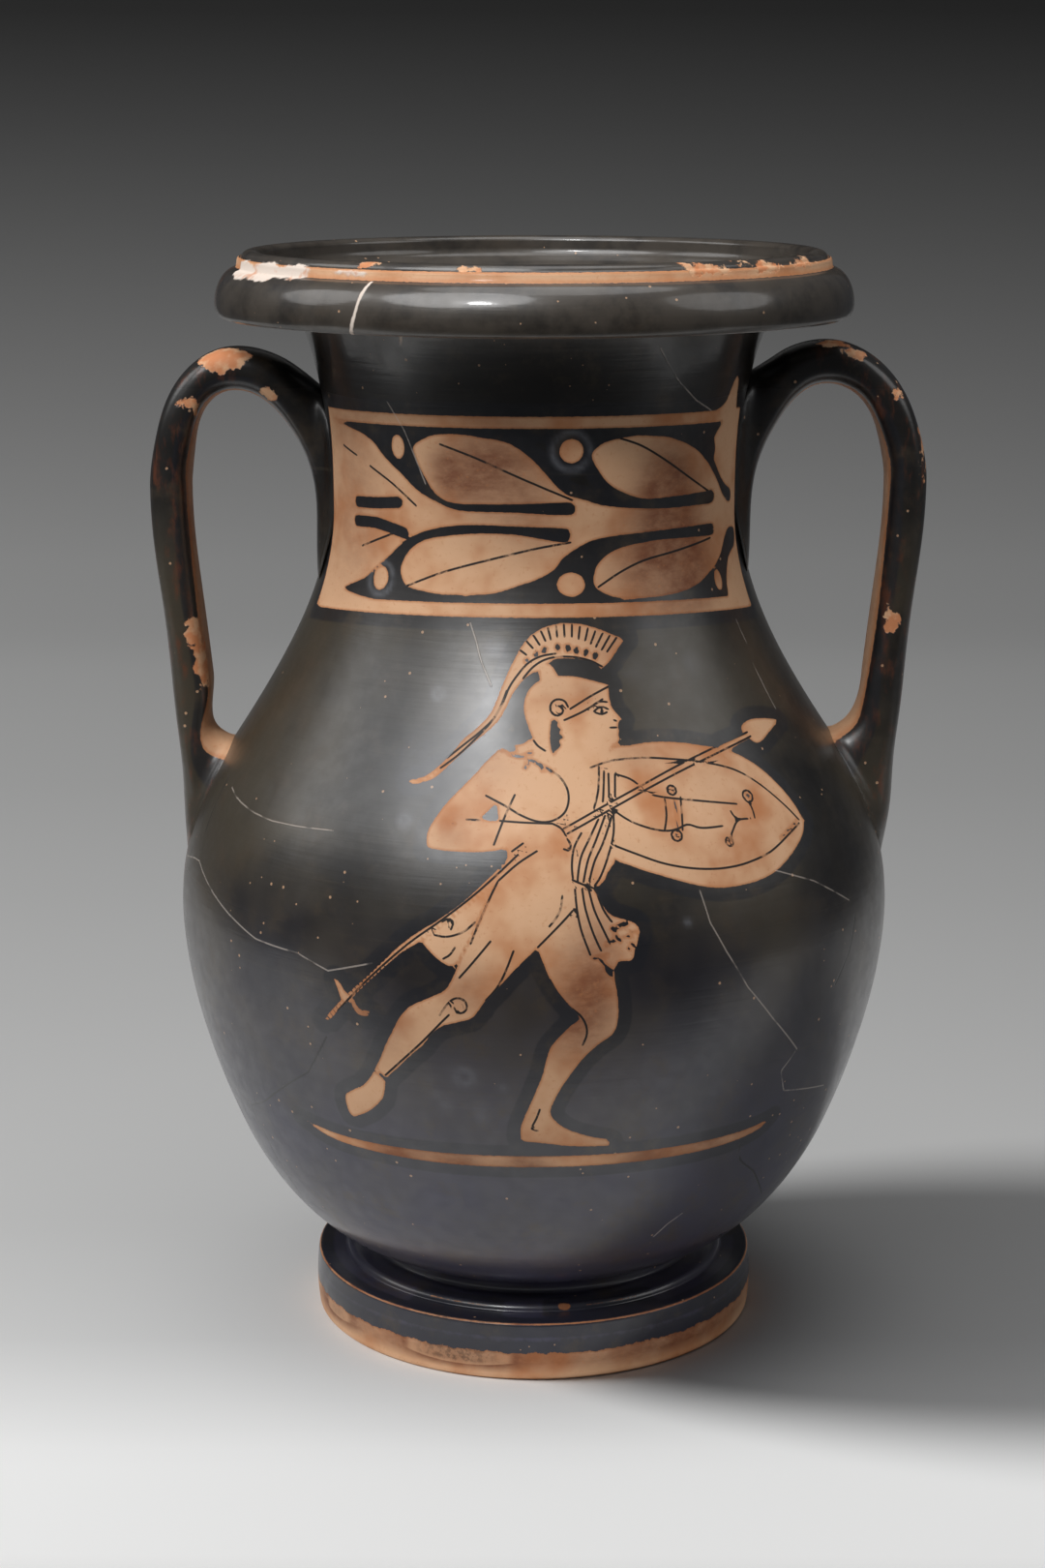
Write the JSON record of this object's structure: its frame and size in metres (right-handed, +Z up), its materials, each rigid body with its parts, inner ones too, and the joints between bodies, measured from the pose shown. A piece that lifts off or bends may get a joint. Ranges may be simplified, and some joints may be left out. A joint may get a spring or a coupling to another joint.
{
  "type": "pelike",
  "caption": "Pear-bellied storage jar with a wide neck, thick round lip, disc foot and two upright strap handles, in black-gloss ware painted with a warrior and a leaf band.",
  "frame": {"origin": "on the jar's axis, in the plane that the foot's ring stands on", "axes": "+Z up along the jar's axis; the handles stand out along -X and +X; the painted warrior faces -Y"},
  "size_m": [0.2555, 0.2378, 0.3619],
  "materials": {
    "black_gloss_ware": "black slip gloss over orange fired clay, worn and chipped, with reserved clay figures"
  },
  "bodies": {
    "root": {"pelike": "black_gloss_ware"}
  },
  "joints": []
}
